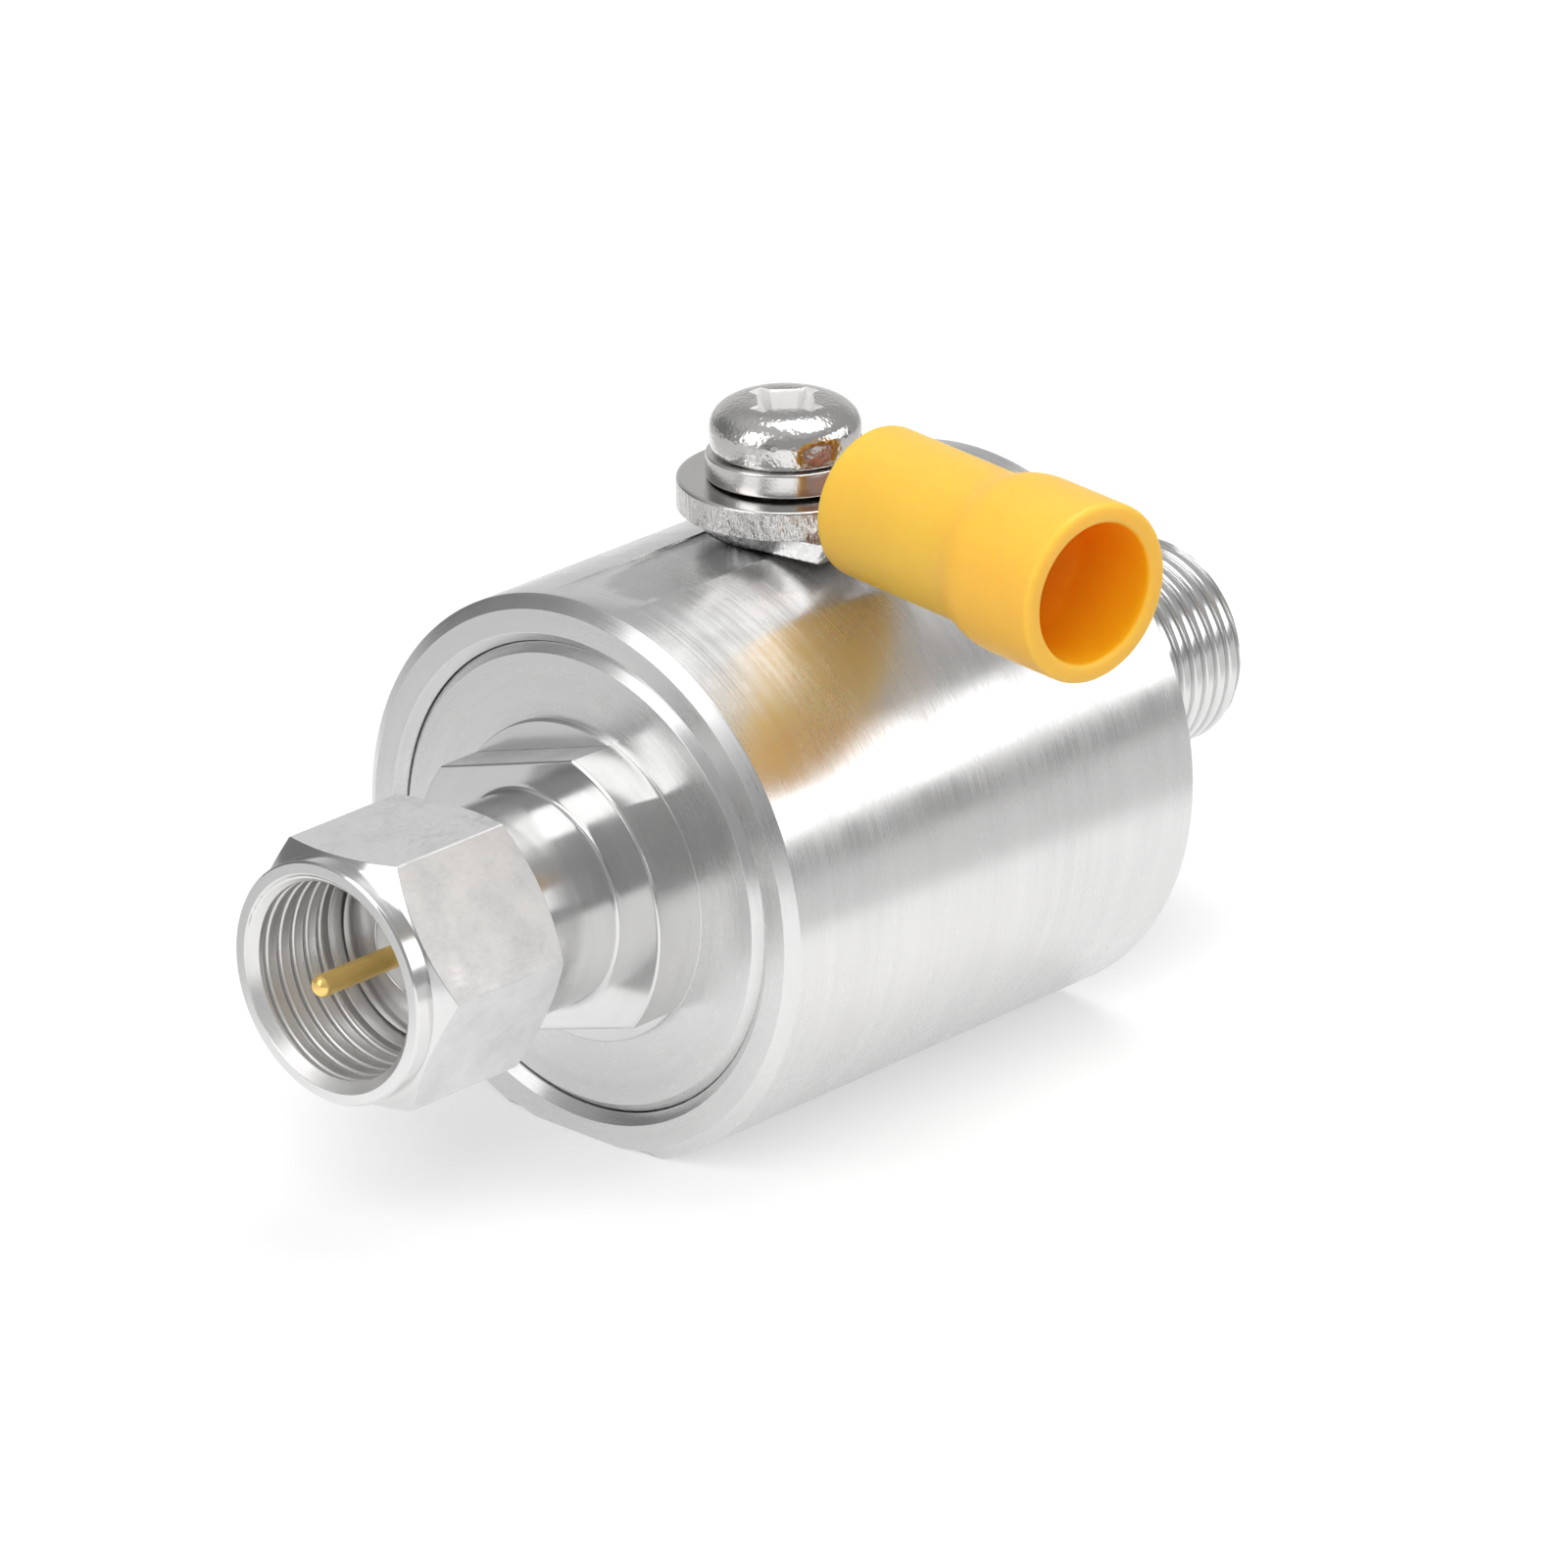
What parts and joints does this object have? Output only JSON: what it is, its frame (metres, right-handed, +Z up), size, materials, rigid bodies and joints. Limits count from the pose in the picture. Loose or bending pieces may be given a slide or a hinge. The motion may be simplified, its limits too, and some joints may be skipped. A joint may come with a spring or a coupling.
{
  "type": "coax lightning arrestor",
  "caption": "Inline coax surge arrestor: round metal body, threaded female port, male port with a turning hex nut, ground screw and insulated ring terminal.",
  "frame": {"origin": "on the coax axis in the mating face of the male port, where the centre pin leaves its insulator", "axes": "+X runs along the coax axis from the male port to the female port, +Z points up through the ground screw, -Y points roughly along the ground terminal"},
  "size_m": [0.0547, 0.0328, 0.0313],
  "materials": {
    "nickel_body": "satin",
    "nickel_plug": "polished",
    "nickel_nut": "satin",
    "screw_plating": "polished",
    "tinned_terminal": "satin",
    "gold_contact": "polished",
    "white_insulator": "satin",
    "yellow_sleeve": "satin",
    "ceramic_ring": "satin",
    "spring_metal": "satin"
  },
  "bodies": {
    "arrestor": {"housing": "nickel_body", "male_end_plug": "nickel_plug", "nut_retaining_ring": "spring_metal", "male_insulator": "white_insulator", "center_pin": "gold_contact", "inner_conductor": "nickel_plug", "front_bead": "white_insulator", "rear_bead": "white_insulator", "female_contact": "gold_contact", "female_insulator": "white_insulator", "gas_tube_ceramic": "ceramic_ring", "gas_tube_inner_electrode": "tinned_terminal", "gas_tube_outer_electrode": "tinned_terminal", "contact_spring": "spring_metal", "gas_tube_cap": "nickel_plug", "ground_screw": "screw_plating", "lock_washer": "screw_plating", "flat_washer": "screw_plating", "ring_terminal": "tinned_terminal", "terminal_sleeve": "yellow_sleeve"},
    "coupling_nut": {"coupling_nut": "nickel_nut"}
  },
  "joints": [
    {"name": "nut_spin", "type": "hinge", "parent": "arrestor", "child": "coupling_nut", "pos_m": [0, 0, 0], "axis": [1, 0, 0], "continuous": true}
  ]
}
